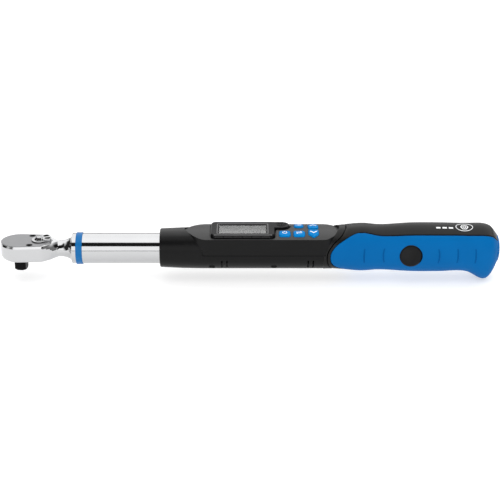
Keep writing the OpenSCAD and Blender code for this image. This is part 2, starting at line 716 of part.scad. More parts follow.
module lcd_window() {
  color([0.55, 0.57, 0.56]) window_box(0.65, glass_top - 0.45, glass_top - 0.02);
}
module lcd_module() {
  color([0.6, 0.62, 0.6]) difference() {
    union() {
      box([bezel_x0 + 5, bezel_x1 - 5], [-window_near - 0.7, 10.9], [board_z + board_t, 14.5]);
      window_box(0.6, board_z + board_t, glass_top - 0.5);
    }
    box([bezel_x0 + 7, bezel_x1 - 7], [-9, 9], [board_z + board_t - 1, board_z + board_t + 2]);
  }
}
module circuit_board() {
  color("darkgreen") difference() {
    box([154.5, 250.5], [-14, 14], [board_z, board_z + board_t]);
    screw_posts(3, 0, 20);
  }
}
module buzzer() {
  color(black_oxide) translate([lobe_at[0], lobe_at[1], board_z + board_t]) difference() {
    cylinder(r = 4.1, h = 5.2);
    translate([0, 0, 4.4]) cylinder(r = 1, h = 2);
  }
}
module buzzer_grille() {
  color([0.1, 0.1, 0.11]) translate([lobe_at[0], lobe_at[1], bezel_top - 1]) difference() {
    cylinder(r = grille_r, h = 0.8);
    for (r = [1.9, 3.4]) translate([0, 0, 0.5]) difference() {
      cylinder(r = r + 0.55, h = 2);
      translate([0, 0, -1]) cylinder(r = r - 0.25, h = 4);
    }
    for (a = [0:60:300]) rotate(a) translate([2.05, 0, -1]) cylinder(r = 0.3, h = 4);
    for (a = [0:30:330]) rotate(a + 15) translate([3.55, 0, -1]) cylinder(r = 0.3, h = 4);
    translate([0, 0, -1]) cylinder(r = 0.7, h = 4);
  }
}
module key_membrane() {
  z = board_z + board_t;
  color([0.25, 0.25, 0.26]) {
    box([214.6, 249.3], [-14, 1.9], [z, z + 0.4]);
    box([225.6, 242.6], [1.8, 14], [z, z + 0.4]);
    box([242.5, 243], [1.8, 14], [z, z + 0.4]);
    box([242.9, 249.3], [1.8, 9.3], [z, z + 0.4]);
    for (p = [[key_x[0], -key_y], [key_x[1], -key_y], [key_x[1], key_y], [key_x[2], -7], [key_x[2], 7]])
      translate([p[0], p[1], z + 0.4 - eps]) cylinder(r = 1.5, h = 0.25);
  }
}
// An outline at [x, y], from a height up to the crowned surface a distance above the panel
module crowned(x, y, z0, proud) {
  intersection() {
    translate([x, y, z0]) linear_extrude(10) children();
    under_crown(-proud);
  }
}
// A key from its outline: the stem with a softly edged top, and a flange under the panel
module key_solid(x, y) {
  color(blue_key) {
    hull() {
      crowned(x, y, 12.2, key_proud - 1) children(0);
      crowned(x, y, 15, key_proud - 0.3) offset(delta = -0.45) children(0);
      crowned(x, y, 15, key_proud) offset(delta = -1.1) children(0);
    }
    translate([x, y, 11.9]) linear_extrude(0.6) children(1);
  }
}
module square_key(x, y) {
  key_solid(x, y) {
    children();
    square([key_w + 1, key_l + 0.8], center = true);
  }
}
module key_power() { square_key(key_x[0], -key_y) key_outline(0); }
module key_unit() { square_key(key_x[1], -key_y) key_outline(0); }
module key_set() { square_key(key_x[1], key_y) set_key_outline(0); }
module key_down() {
  key_solid(key_x[2], 0) {
    arrow_outline(0);
    translate([-5, -13.4]) square([10, 12.8]);
  }
}
module key_up() { mirror([0, 1, 0]) key_down(); }

// ---- Handle ----
module handle_collar() {
  gap = 0.45;
  angles = [for (i = [0:71]) 360 * i / 72];
  loops = [
    for (d = [0, 0.6]) [for (t = angles) skin(lower_x1 + 0.05 + d, -t, 0.4 - d * 0.6)],
    for (f = steps(0, 1, 7)) [for (t = angles) let (x1 = curve_at(from_top(t), collar_edge) - gap - 0.5, x0 = lower_x1 + 1)
      skin(x0 + (x1 - x0) * (0.1 + 0.9 * f), -t)],
    [for (t = angles) skin(curve_at(from_top(t), collar_edge) - gap, -t, 0.5)]
  ];
  color(black_plastic) difference() {
    lofted(loops, [lower_x1 + 0.05, 0, 0], [262 - gap, 0, 1]);
    rod_x(15.1, 240, 280);
    translate([0, 0, -0.15]) linear_extrude(30) panel_outline(-0.15);
  }
}
// Angles and depths round the handle's black body at x: the top strip, then under the grip
strip_n = 6;
grip_n = 26;
strip_fractions = [for (i = [0:strip_n]) i / strip_n];
function body_angles(x) =
  let (e = edge_angle(x), half = concat([for (f = strip_fractions) (e - 2) * f], [e]),
       under = [for (f = steps(0, 1, grip_n)) e + 0.3 + (180 - e - 0.3) * f])
  concat(half, under, [for (i = [grip_n - 1:-1:0]) 360 - under[i]], [for (i = [strip_n + 1:-1:1]) 360 - half[i]]);
// 0 on the strip, 1 on its chamfered edge, 2 under the grip
column_kinds = concat([for (f = strip_fractions) 0], [1], [for (i = [0:grip_n]) 2],
  [for (i = [0:grip_n - 1]) 2], [1], [for (i = [1:strip_n]) 0]);
nominal_angles = body_angles(272);
body_columns = len(nominal_angles);
body_depths = [0, 0.7, grip_t + 0.05];
// Depth of the shallow valley in the strip, from its middle to its edge
valley_depths = [0.1, 0.3, 0.5, 0.55, 0.5, 0.3, 0];
strip_last = strip_n + 1;
// The number of a column of the body counted from the top's middle, the same on both sides
function column_place(j) = min(j, body_columns - j);
function body_depth(j, x) =
  let (i = column_place(j))
  i < strip_last ? valley_depths[i] * min(1, max(0, (x - 286) / 18)) : body_depths[column_kinds[j]];
function front_x(j) = curve_at(max(30, from_top(nominal_angles[j])), grip_front);
function start_x(j) = curve_at(from_top(nominal_angles[j]), collar_edge);
// Rows over the grip's length, closer together at the shaped tail
row_stops = [for (f = steps(0, 1, 19)) f * 0.78, for (f = steps(0, 1, 14)) if (f > 0) 0.78 + 0.22 * f];
module handle_outer() {
  loops = [
    [for (j = [0:body_columns - 1]) skin(start_x(j), -body_angles(start_x(j))[j], 0.5)],
    for (f = [0.12, 0.4, 0.7, 1]) [for (j = [0:body_columns - 1])
      let (x = start_x(j) + (front_x(j) - start_x(j)) * f) skin(x, -body_angles(x)[j])],
    for (f = row_stops) [for (j = [0:body_columns - 1])
      let (x0 = front_x(j) + 0.25, x = x0 + (handle_end - x0) * f)
      skin(x, -body_angles(x)[j], body_depth(j, x))]
  ];
  lofted(loops, [262, 0, 1], [handle_end, 0, battery_z]);
}
module handle_body() {
  color(black_plastic) difference() {
    handle_outer();
    rod_x(14.9, 250, 276);
    translate([0, 0, -0.15]) linear_extrude(30) panel_outline(-0.15);
    box([275, load_x + 10.5], [-5.1, 5.1], [plug_z - 9.7, plug_z + 9.6]);
    rod_y(4, -30, 30, load_x, plug_z);
    for (s = [-1, 1]) rod_y(plug_d / 2 + 0.03, s > 0 ? 13 : -30, s > 0 ? 30 : -13, load_x, plug_z);
    rod_x(battery_bore_r, carrier_x0 - 3, 420, 0, battery_z);
    rod_x(12.5, handle_end - 1.5, 420, 0, battery_z);
  }
}
function grip_angles(x) =
  let (a = edge_angle(x) + 0.9)
  concat([a, a + 0.8, a + 2], steps(a + 4.4, 355.6 - a, 2 * grip_n - 6), [358 - a, 359.2 - a, 360 - a]);
grip_nominal = grip_angles(272);
grip_columns = len(grip_nominal);
function grip_x0(j) = curve_at(max(30, from_top(grip_nominal[j])), grip_front) + 0.4;
// Depth of the rounded edge, by the number of places in from the edge
edge_depths = [0.9, 0.28, 0.06, 0];
function edge_depth(i, n) = edge_depths[min(3, i, n - 1 - i)];
module grip() {
  near = [0, 0.35, 1.0];
  rows = concat([for (d = near) [0, d]], [for (i = [1:len(row_stops) - 1]) [row_stops[i], 1.0 * (1 - row_stops[i])]]);
  n = len(rows);
  loops = [for (i = [0:n - 1]) concat(
    [for (j = [0:grip_columns - 1])
      let (x0 = grip_x0(j), x = x0 + (handle_end - x0) * rows[i][0] + rows[i][1])
      skin(x, -grip_angles(x)[j], max(edge_depth(j, grip_columns), i < 3 ? edge_depths[i] : i == n - 1 ? 0.4 : 0))],
    [for (k = [0:grip_columns - 1])
      let (j = grip_columns - 1 - k, x0 = grip_x0(j), x = x0 + (handle_end - x0) * rows[i][0] + rows[i][1])
      skin(x, -grip_angles(x)[j], grip_t)])];
  color(blue_rubber) difference() {
    lofted_strip(loops);
    for (s = [-1, 1]) rod_y(plug_d / 2 + 0.03, s > 0 ? 10 : -30, s > 0 ? 30 : -10, load_x, plug_z);
    rod_x(12.5, handle_end - 1.5, 420, 0, battery_z);
  }
}
module load_pin() {
  color(steel) rod_y(4, -14.5, 14.5, load_x, plug_z);
}
module load_plugs() {
  color(black_plastic) for (s = [0, 1]) mirror([0, s, 0]) translate([load_x, 14.6, plug_z]) rotate([-90, 0, 0]) {
    cylinder(r = plug_d / 2 - 0.05, h = 3.9);
    translate([0, 0, 3.89]) cylinder(r1 = plug_d / 2 - 0.05, r2 = plug_d / 2 - 1.1, h = 0.7);
  }
}
module cell_places() {
  for (s = [-1, 1]) translate([0, s * 5.25, battery_z]) children();
}
module battery_carrier() {
  color(black_plastic) difference() {
    rod_x(carrier_r, carrier_x0, carrier_x1, 0, battery_z);
    cell_places() rod_x(cell_d / 2 + 0.08, carrier_x0 + 1, carrier_x1 + 1);
    box([carrier_x0 + 3, carrier_x1 - 3], [-12, 12], [battery_z + 3, battery_z + 20]);
    cell_places() rod_x(2, carrier_x0 - 1, carrier_x0 + 2);
  }
}
module battery_cells() {
  color("goldenrod") cell_places() {
    rod_x(cell_d / 2, carrier_x0 + 1.2, carrier_x0 + 1.2 + cell_l);
    rod_x(1.9, carrier_x0 + cell_l + 1.19, carrier_x0 + cell_l + 2);
  }
}
module inner_contacts() {
  color("gold") {
    cell_places() rod_x(1.8, carrier_x0 - 0.6, carrier_x0 + 1.15);
    rod_x(battery_bore_r - 0.3, carrier_x0 - 1.4, carrier_x0 - 0.55, 0, battery_z);
  }
}
module cap_contact() {
  color("gold") rod_x(9.4, carrier_x1 + 3.4, carrier_x1 + 4.2, 0, battery_z);
}
module cap_springs() {
  color("gold") cell_places() translate([carrier_x1 + 0.25, 0, 0]) rotate([0, 90, 0]) coil(2.4, 0.3, 0.85, 3);
}
module battery_cap() {
  color(blue_rubber) difference() {
    translate([0, 0, battery_z]) turned_x([
      [carrier_x1 + 4.6, 0], [carrier_x1 + 4.6, battery_bore_r - run_gap],
      [handle_end - 1.45, battery_bore_r - run_gap], [handle_end - 1.45, 12.3], [handle_end - 0.2, 12.3],
      for (a = steps(6, 84, 10)) [handle_end - 0.2 + 3 * sin(a), 12.1 * cos(a)],
      [handle_end + 2.8, 0]
    ]);
    translate([handle_end + 1.6, 0, battery_z]) box([0, 5], [-1, 1], [-9, 9]);
    translate([0, 0, battery_z]) turned_x([
      [handle_end - 3.4, 10.48], [handle_end - 3.4, 12], [handle_end - 1.9, 12], [handle_end - 1.9, 10.48]
    ]);
  }
}
module cap_seal() {
  color([0.1, 0.1, 0.1]) translate([handle_end - 2.65, 0, battery_z]) rotate([0, 90, 0])
    rotate_extrude() translate([battery_bore_r - 0.2 - 0.35, 0]) circle(0.45, $fn = 24);
}

on_axis() head_body();
on_axis() cover_plate();
on_axis() cover_screws();
on_axis() drive_gear();
on_axis() detent_ball();
on_axis() detent_spring();
on_axis() pawl();
on_axis() pawl_plunger();
on_axis() pawl_spring();
on_axis() reversing_lever();
on_axis() tube();
on_axis() colour_band();
on_axis() flex_beam();
on_axis() beam_pins();
on_axis() strain_gauges();
on_axis() gauge_lead();
on_axis() lower_housing();
on_axis() upper_housing();
on_axis() housing_screws();
on_axis() bezel();
on_axis() lcd_window();
on_axis() lcd_module();
on_axis() circuit_board();
on_axis() buzzer();
on_axis() buzzer_grille();
on_axis() key_membrane();
on_axis() key_power();
on_axis() key_unit();
on_axis() key_set();
on_axis() key_up();
on_axis() key_down();
on_axis() handle_collar();
on_axis() handle_body();
on_axis() grip();
on_axis() load_pin();
on_axis() load_plugs();
on_axis() battery_carrier();
on_axis() battery_cells();
on_axis() inner_contacts();
on_axis() cap_contact();
on_axis() cap_springs();
on_axis() battery_cap();
on_axis() cap_seal();
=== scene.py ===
import json
import math

import bmesh
import bpy
from mathutils import Matrix, Vector
from mathutils.bvhtree import BVHTree


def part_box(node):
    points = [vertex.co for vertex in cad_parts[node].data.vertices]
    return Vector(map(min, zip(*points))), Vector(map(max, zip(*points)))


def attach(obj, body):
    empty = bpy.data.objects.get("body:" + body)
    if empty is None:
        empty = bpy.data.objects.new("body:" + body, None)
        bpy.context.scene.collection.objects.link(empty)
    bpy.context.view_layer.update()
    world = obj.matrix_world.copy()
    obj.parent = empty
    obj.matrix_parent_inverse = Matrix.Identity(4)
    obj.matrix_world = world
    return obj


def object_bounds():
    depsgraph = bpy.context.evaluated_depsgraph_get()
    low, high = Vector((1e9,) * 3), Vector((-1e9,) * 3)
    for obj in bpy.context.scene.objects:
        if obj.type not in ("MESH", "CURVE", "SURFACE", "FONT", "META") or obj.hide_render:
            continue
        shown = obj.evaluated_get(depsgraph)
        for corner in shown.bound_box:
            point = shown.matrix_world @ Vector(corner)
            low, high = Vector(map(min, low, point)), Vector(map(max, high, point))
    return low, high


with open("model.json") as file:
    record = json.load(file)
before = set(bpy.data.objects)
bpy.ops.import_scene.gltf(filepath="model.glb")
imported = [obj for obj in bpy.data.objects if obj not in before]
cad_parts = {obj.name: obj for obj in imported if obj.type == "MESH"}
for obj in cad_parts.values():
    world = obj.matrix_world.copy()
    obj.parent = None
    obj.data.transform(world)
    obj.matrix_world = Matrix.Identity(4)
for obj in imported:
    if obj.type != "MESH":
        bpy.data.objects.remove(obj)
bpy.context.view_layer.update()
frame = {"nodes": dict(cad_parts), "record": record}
nodes = frame["nodes"]
scene = bpy.context.scene
scene.view_settings.view_transform = "Standard"
MM = 0.001


# ---- Camera ----
ELEVATION = math.radians(23)
DISTANCE = 1.2
VIEW_WIDTH = 0.4175  # what the picture shows from left to right, at TARGET
TARGET = Vector((0.1915, 0, 0.0048))
SENSOR_WIDTH = 36

cam = bpy.data.objects.new("camera", bpy.data.cameras.new("camera"))
scene.collection.objects.link(cam)
cam.data.sensor_width = SENSOR_WIDTH
cam.data.lens = SENSOR_WIDTH * DISTANCE / VIEW_WIDTH
cam.location = TARGET + DISTANCE * Vector((0, -math.cos(ELEVATION), math.sin(ELEVATION)))
cam.rotation_euler = (math.pi / 2 - ELEVATION, 0, 0)
cam.data.clip_start = 0.01
cam.data.clip_end = 50
scene.camera = cam


# ---- Nodes ----
MIX_FACTOR, MIX_A, MIX_B = 0, 6, 7  # a colour Mix node's inputs
MIX_RESULT = 2  # and its output


def add_node(tree, kind, **values):
    node = tree.nodes.new(kind)
    for key, value in values.items():
        setattr(node, key, value)
    return node


def feed(tree, socket, value):
    """Links another node's output to a socket, or sets it to a plain number or colour."""
    if isinstance(value, bpy.types.NodeSocket):
        tree.links.new(value, socket)
    elif hasattr(value, "__len__") and len(value) == 3:
        socket.default_value = (*value, 1)
    else:
        socket.default_value = value


def mix_colours(tree, factor, a, b):
    node = add_node(tree, "ShaderNodeMix", data_type="RGBA")
    for index, value in ((MIX_FACTOR, factor), (MIX_A, a), (MIX_B, b)):
        feed(tree, node.inputs[index], value)
    return node.outputs[MIX_RESULT]


# ---- Light ----
# Brightness by a direction's height, from 0, level or lower, to 1, straight up.
CEILING = [(0.92, 1.62), (1, 1.7)]
GAP = [(0.60, 0.015), (0.885, 0.015)]
PANEL = [(0, 0.35), (0.04, 0.35), (0.09, 1.55), (0.565, 1.55)]
BESIDE = [(0, 0.25), (0.5, 0.3)]
REAR = [(0, 0.25), (0.22, 0.3), (0.34, 1.6), (0.6, 1.6)]
FLAG = [(0, 0.25), (0.05, 0.03), (0.6, 0.03), (0.8, 1.5)]
# Where one gives way to the next, by the direction.
PANEL_TO_BESIDE = (0.45, 1.3)  # its slope away from -Y
FRONT_TO_REAR = (-0.2, 0.2)  # its Y
AROUND_TO_FLAG = (-0.55, -0.75)  # its X
BRIGHTEST = 2.0  # a ramp's colours stay below 1, so the world's strength makes up for it

SUN_STRENGTH = 1.3
SUN_WIDTH = math.radians(40)
SUN_TURN = (math.radians(32), 0, math.radians(-12))


def studio_world():
    """A soft studio: a bright ceiling, a bright panel in front below a dark gap, a back that is
    bright above a dim foot, and a dark flag beyond the head, which the flare at the neck reflects."""
    world = bpy.data.worlds.new("studio")
    scene.world = world
    world.use_nodes = True
    tree = world.node_tree
    back = tree.nodes["Background"]
    coord = add_node(tree, "ShaderNodeTexCoord")
    split = add_node(tree, "ShaderNodeSeparateXYZ")
    tree.links.new(coord.outputs["Generated"], split.inputs[0])

    def ramp(stops):
        node = add_node(tree, "ShaderNodeValToRGB")
        tree.links.new(split.outputs["Z"], node.inputs[0])
        marks = node.color_ramp.elements
        while len(marks) < len(stops):
            marks.new(0.5)
        for mark, (at, level) in zip(marks, stops):
            mark.position = at
            mark.color = (level / BRIGHTEST,) * 3 + (1,)
        return node.outputs[0]

    def fade(value, low, high):
        node = add_node(tree, "ShaderNodeMapRange", interpolation_type="SMOOTHSTEP")
        tree.links.new(value, node.inputs["Value"])
        node.inputs["From Min"].default_value = low
        node.inputs["From Max"].default_value = high
        return node.outputs[0]

    slope = add_node(tree, "ShaderNodeMath", operation="DIVIDE")
    tree.links.new(split.outputs["X"], slope.inputs[0])
    tree.links.new(split.outputs["Y"], slope.inputs[1])
    sideways = add_node(tree, "ShaderNodeMath", operation="ABSOLUTE")
    tree.links.new(slope.outputs[0], sideways.inputs[0])

    front = mix_colours(tree, fade(sideways.outputs[0], *PANEL_TO_BESIDE),
                        ramp(PANEL + GAP + CEILING), ramp(BESIDE + GAP + CEILING))
    around = mix_colours(tree, fade(split.outputs["Y"], *FRONT_TO_REAR), front, ramp(REAR + CEILING))
    whole = mix_colours(tree, fade(split.outputs["X"], *AROUND_TO_FLAG), around, ramp(FLAG))
    tree.links.new(whole, back.inputs["Color"])
    back.inputs["Strength"].default_value = BRIGHTEST


studio_world()

sun = bpy.data.objects.new("key_light", bpy.data.lights.new("key_light", "SUN"))
scene.collection.objects.link(sun)
sun.data.energy = SUN_STRENGTH
sun.data.angle = SUN_WIDTH
sun.rotation_euler = SUN_TURN
sun.visible_glossy = False


# ---- Materials ----
class Finish:
    """A material with its shader and short ways to add procedural detail."""

    def __init__(self, name, **values):
        self.material = bpy.data.materials.new("mat_" + name)
        self.material.use_nodes = True
        self.tree = self.material.node_tree
        self.shader = self.tree.nodes["Principled BSDF"]
        self.coords = add_node(self.tree, "ShaderNodeTexCoord").outputs["Object"]
        for key, value in values.items():
            self.set(key.replace("_", " "), value)

    def set(self, socket, value):
        names = {s.name.lower(): s for s in self.shader.inputs}
        feed(self.tree, names[socket.lower()], value)

    def link(self, a, b):
        self.tree.links.new(a, b)

    def stretched(self, stretch):
        mapping = add_node(self.tree, "ShaderNodeMapping")
        self.link(self.coords, mapping.inputs["Vector"])
        mapping.inputs["Scale"].default_value = stretch
        return mapping.outputs[0]

    def noise(self, scale, detail=2.0, roughness=0.5, stretch=None):
        node = add_node(self.tree, "ShaderNodeTexNoise")
        self.link(self.stretched(stretch) if stretch else self.coords, node.inputs["Vector"])
        node.inputs["Scale"].default_value = scale
        node.inputs["Detail"].default_value = detail
        node.inputs["Roughness"].default_value = roughness
        return node.outputs["Fac"]

    def cells(self, scale):
        node = add_node(self.tree, "ShaderNodeTexVoronoi")
        self.link(self.coords, node.inputs["Vector"])
        node.inputs["Scale"].default_value = scale
        return node.outputs["Distance"]

    def levels(self, value, low, high, start=0.3, end=0.7):
        """Turns start into low and end into high, with a straight slope between them."""
        node = add_node(self.tree, "ShaderNodeMapRange")
        self.link(value, node.inputs["Value"])
        node.inputs["From Min"].default_value = start
        node.inputs["From Max"].default_value = end
        node.inputs["To Min"].default_value = low
        node.inputs["To Max"].default_value = high
        return node.outputs[0]

    def blend(self, factor, a, b):
        return mix_colours(self.tree, factor, a, b)

    def math(self, operation, a, b):
        node = add_node(self.tree, "ShaderNodeMath", operation=operation)
        feed(self.tree, node.inputs[0], a)
        feed(self.tree, node.inputs[1], b)
        return node.outputs[0]

    def worn(self, start, end):
        """1 on outer edges, 0 on flats."""
        node = add_node(self.tree, "ShaderNodeNewGeometry")
        return self.levels(node.outputs["Pointiness"], 0.0, 1.0, start, end)

    def bump(self, *layers):
        """Adds layers of (height, distance in metres, strength) to the shader's normal."""
        last = None
        for height, distance, strength in layers:
            node = add_node(self.tree, "ShaderNodeBump")
            self.link(height, node.inputs["Height"])
            node.inputs["Distance"].default_value = distance
            node.inputs["Strength"].default_value = strength
            if last:
                self.link(last, node.inputs["Normal"])
            last = node.outputs[0]
        self.link(last, self.shader.inputs["Normal"])


def chrome():
    m = Finish("chrome", metallic=1.0)
    clouds = m.noise(60, 3)
    scratches = m.noise(900, 2, 0.6, (0.06, 1, 1))
    m.set("base color", m.blend(clouds, (0.505, 0.508, 0.515), (0.535, 0.538, 0.545)))
    m.set("roughness", m.levels(scratches, 0.05, 0.10))
    m.bump((scratches, 0.00002, 0.05), (m.noise(150, 2), 0.0001, 0.03))
    return m.material


LEVER_AXIS = Vector((16, 0, 0)) * MM
LEVER_REST_TURN = math.radians(20)
RECESS_ALONG, RECESS_ASIDE = 6.6, 2.8  # a recess's centre from the lever's axis, in mm
RECESS_RIM = (2.70 * MM, 2.78 * MM)  # the painted shade in the recesses ends between these distances from the centre
RECESS_FLOOR = (0.74 * MM, 0.78 * MM)  # and between these heights above the cover plate
RECESS_TOP = (1.95 * MM, 2.1 * MM)


def lever_metal():
    """The reversing lever's plated casting, with near black painted shade in its two recesses."""
    m = Finish("lever", metallic=1.0, specular_ior_level=0.05)
    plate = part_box("cover_plate")[1].z
    split = add_node(m.tree, "ShaderNodeSeparateXYZ")
    m.link(m.coords, split.inputs[0])
    flat = add_node(m.tree, "ShaderNodeCombineXYZ")
    m.link(split.outputs["X"], flat.inputs[0])
    m.link(split.outputs["Y"], flat.inputs[1])
    turn = Matrix.Rotation(LEVER_REST_TURN, 3, "Z")
    recesses = []
    for side in (-1, 1):
        centre = turn @ Vector((RECESS_ALONG, RECESS_ASIDE * side, 0)) * MM
        out = add_node(m.tree, "ShaderNodeVectorMath", operation="DISTANCE")
        m.link(flat.outputs[0], out.inputs[0])
        out.inputs[1].default_value = centre + LEVER_AXIS
        recesses.append(m.levels(out.outputs["Value"], 1.0, 0.0, *RECESS_RIM))
    below = m.levels(split.outputs["Z"], 1.0, 0.0, *(plate + z for z in RECESS_TOP))
    above = m.levels(split.outputs["Z"], 0.0, 1.0, *(plate + z for z in RECESS_FLOOR))
    # Near black painted over the recesses' floors and walls, with no metal: painted shade.
    recess_shade = m.math("MULTIPLY", m.math("MAXIMUM", *recesses), m.math("MULTIPLY", below, above))
    metal = m.blend(m.noise(160, 4), (0.40, 0.403, 0.41), (0.47, 0.473, 0.48))
    m.set("base color", m.blend(recess_shade, metal, (0.006, 0.006, 0.007)))
    m.set("metallic", m.levels(recess_shade, 1.0, 0.0, 0.0, 1.0))
    m.set("roughness", m.levels(m.noise(2600, 2, 0.6), 0.16, 0.26))
    m.bump((m.noise(1500, 2), 0.00002, 0.15))
    return m.material


def satin_plate():
    m = Finish("plate", metallic=1.0)
    grain = m.noise(4200, 2, 0.6)
    m.set("base color", m.blend(m.noise(120, 4), (0.245, 0.247, 0.254), (0.29, 0.292, 0.30)))
    m.set("roughness", m.levels(grain, 0.30, 0.42))
    m.bump((grain, 0.00003, 0.35))
    return m.material


def ground_steel():
    m = Finish("steel", metallic=1.0)
    lines = m.noise(2500, 2, 0.5, (0.08, 1, 1))
    m.set("base color", m.blend(m.noise(90, 3), (0.48, 0.48, 0.49), (0.56, 0.56, 0.57)))
    m.set("roughness", m.levels(lines, 0.18, 0.34))
    m.bump((lines, 0.00002, 0.3))
    return m.material


def black_oxide():
    m = Finish("black_oxide", specular_ior_level=0.08)
    patches = m.noise(350, 4, 0.6)
    base = m.blend(patches, (0.0015, 0.0015, 0.0018), (0.004, 0.0038, 0.004))
    m.set("base color", m.blend(m.worn(0.54, 0.64), base, (0.022, 0.022, 0.024)))
    m.set("roughness", m.levels(patches, 0.30, 0.48))
    m.bump((m.noise(3000, 2), 0.00002, 0.3))
    return m.material


def black_plastic(name, dark, light, grain_scale, rough, depth, specular, dusty=0.0):
    """Spark-eroded plastic: a fine pebble grain and handled edges, and where it is dusty,
    a little fine dust on what faces up."""
    m = Finish(name, specular_ior_level=specular)
    pebble = m.cells(grain_scale)
    dust = m.noise(45, 4, 0.6)
    base = m.blend(dust, dark, light)
    base = m.blend(m.worn(0.53, 0.62), base, tuple(1.6 * c for c in light))
    if dusty:
        normal = add_node(m.tree, "ShaderNodeSeparateXYZ")
        geometry = add_node(m.tree, "ShaderNodeNewGeometry")
        m.link(geometry.outputs["Normal"], normal.inputs[0])
        facing_up = m.levels(normal.outputs["Z"], 0.0, 1.0, 0.80, 0.98)
        settled = m.math("MULTIPLY", facing_up, m.levels(dust, 0.85, 1.0))
        base = m.blend(settled, base, (dusty, dusty, dusty * 1.01))
    m.set("base color", base)
    m.set("roughness", m.levels(m.noise(grain_scale * 0.5, 2), *rough))
    m.bump((pebble, depth, 0.6), (m.noise(60, 2), 0.0002, 0.05))
    return m.material


def rubber(name, dark, light, grain_scale, rough, specular):
    m = Finish(name, specular_ior_level=specular)
    pebble = m.cells(grain_scale)
    cloud = m.noise(35, 4, 0.55)
    m.set("base color", m.blend(cloud, dark, light))
    m.set("roughness", m.levels(m.noise(grain_scale * 0.4, 2), *rough))
    m.bump((pebble, 0.00005, 0.5), (m.noise(50, 2), 0.0003, 0.06))
    return m.material


def band_blue():
    m = Finish("band", metallic=0.15, specular_ior_level=0.25)
    rings = m.noise(1800, 2, 0.5, (1, 0.02, 0.02))
    m.set("base color", m.blend(m.noise(200, 3), (0.0, 0.115, 0.34), (0.005, 0.145, 0.40)))
    m.set("roughness", m.levels(rings, 0.28, 0.40))
    m.bump((rings, 0.00003, 0.3))
    return m.material


def glass():
    m = Finish("screen", transmission_weight=1.0, ior=1.22)
    m.set("base color", m.blend(m.noise(300, 2), (0.93, 0.94, 0.94), (0.96, 0.965, 0.96)))
    m.set("roughness", m.levels(m.noise(900, 2), 0.04, 0.08))
    m.bump((m.noise(500, 2), 0.00002, 0.04))
    return m.material


def liquid_crystal():
    """A grey display, darker towards its far edge, with a faint speckle."""
    m = Finish("lcd", specular_ior_level=0.02)
    lo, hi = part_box("lcd_window")
    split = add_node(m.tree, "ShaderNodeSeparateXYZ")
    m.link(m.coords, split.inputs[0])
    darkest_from = lo.y * 0.35 + hi.y * 0.65
    fade = m.levels(split.outputs["Y"], 0.0, 1.0, lo.y, darkest_from)
    base = m.blend(fade, (0.20, 0.202, 0.20), (0.045, 0.046, 0.046))
    speckle = m.levels(m.noise(4000, 1), 0.0, 0.12)
    m.set("base color", m.blend(speckle, base, (0.12, 0.12, 0.12)))
    m.set("roughness", m.levels(m.noise(2000, 2), 0.30, 0.40))
    m.bump((m.noise(5000, 1), 0.00001, 0.2))
    return m.material


def simple(name, dark, light, scale, rough, metallic=0.0):
    m = Finish(name, metallic=metallic)
    spots = m.noise(scale, 3, 0.6)
    m.set("base color", m.blend(spots, dark, light))
    m.set("roughness", m.levels(m.noise(scale * 2, 2), *rough))
    m.bump((m.noise(scale * 4, 2), 0.00002, 0.3))
    return m.material


MATERIALS = {
    "chrome": chrome(),
    "plate": satin_plate(),
    "steel": ground_steel(),
    "black_oxide": black_oxide(),
    "housing": black_plastic("housing", (0.0028, 0.0028, 0.0029), (0.0048, 0.0048, 0.005),
                             grain_scale=3200, rough=(0.28, 0.38), depth=0.00003,
                             specular=0.15, dusty=0.038),
    "bezel": black_plastic("bezel", (0.0025, 0.0025, 0.0028), (0.0045, 0.0045, 0.005),
                           grain_scale=5200, rough=(0.26, 0.34), depth=0.00001, specular=0.07),
    "handle": black_plastic("handle", (0.004, 0.0038, 0.0036), (0.0075, 0.0072, 0.007),
                            grain_scale=2600, rough=(0.28, 0.38), depth=0.00003, specular=0.2),
    "grip": rubber("grip", (0.0, 0.108, 0.33), (0.0, 0.132, 0.395), 2200, (0.45, 0.58), 0.06),
    "cap": rubber("cap", (0.0, 0.10, 0.31), (0.0, 0.125, 0.375), 2600, (0.42, 0.55), 0.06),
    "band": band_blue(),
    "keys": rubber("keys", (0.0, 0.165, 0.46), (0.0, 0.20, 0.54), 3600, (0.42, 0.54), 0.04),
    "screen": glass(),
    "lcd": liquid_crystal(),
}
# The parts inside: dark and light colour, scale of the spots, roughness and metallic.
INNER_PARTS = {
    "board": ((0.01, 0.10, 0.04), (0.02, 0.16, 0.06), 900, (0.3, 0.4)),
    "membrane": ((0.03, 0.03, 0.032), (0.05, 0.05, 0.052), 1500, (0.5, 0.65)),
    "gold": ((0.66, 0.46, 0.18), (0.78, 0.58, 0.27), 500, (0.2, 0.35), 1.0),
    "cells": ((0.28, 0.20, 0.07), (0.36, 0.27, 0.10), 600, (0.3, 0.4), 0.4),
    "gauge": ((0.50, 0.22, 0.03), (0.62, 0.30, 0.05), 2000, (0.3, 0.4)),
    "lead": ((0.20, 0.01, 0.01), (0.30, 0.02, 0.02), 1500, (0.35, 0.45)),
    "seal": ((0.010, 0.010, 0.010), (0.018, 0.018, 0.018), 1500, (0.4, 0.5)),
}
for part_slot, part_values in INNER_PARTS.items():
    MATERIALS[part_slot] = simple(part_slot, *part_values)
LEVER = lever_metal()
# A darker blue than the grip: painted shade on the ribs.
RIDGE_PAINTED_SHADE = rubber("ridge", (0.0, 0.075, 0.25), (0.0, 0.095, 0.30), 2200, (0.5, 0.6), 0.04)
# Light grey that stands for light on edges: painted highlight on the bezel's edge and round the
# display's window.
PAINTED_HIGHLIGHT = simple("edge", (0.10, 0.10, 0.102), (0.14, 0.14, 0.143), 2500, (0.35, 0.45))
SMOKED = simple("smoked", (0.0015, 0.0015, 0.002), (0.004, 0.004, 0.0045), 1200, (0.10, 0.16))
INK = simple("ink", (0.78, 0.79, 0.80), (0.86, 0.87, 0.88), 3000, (0.4, 0.5))
SLOT_OF = {part["node"]: part["material_slot"] for part in frame["record"]["subparts"]}


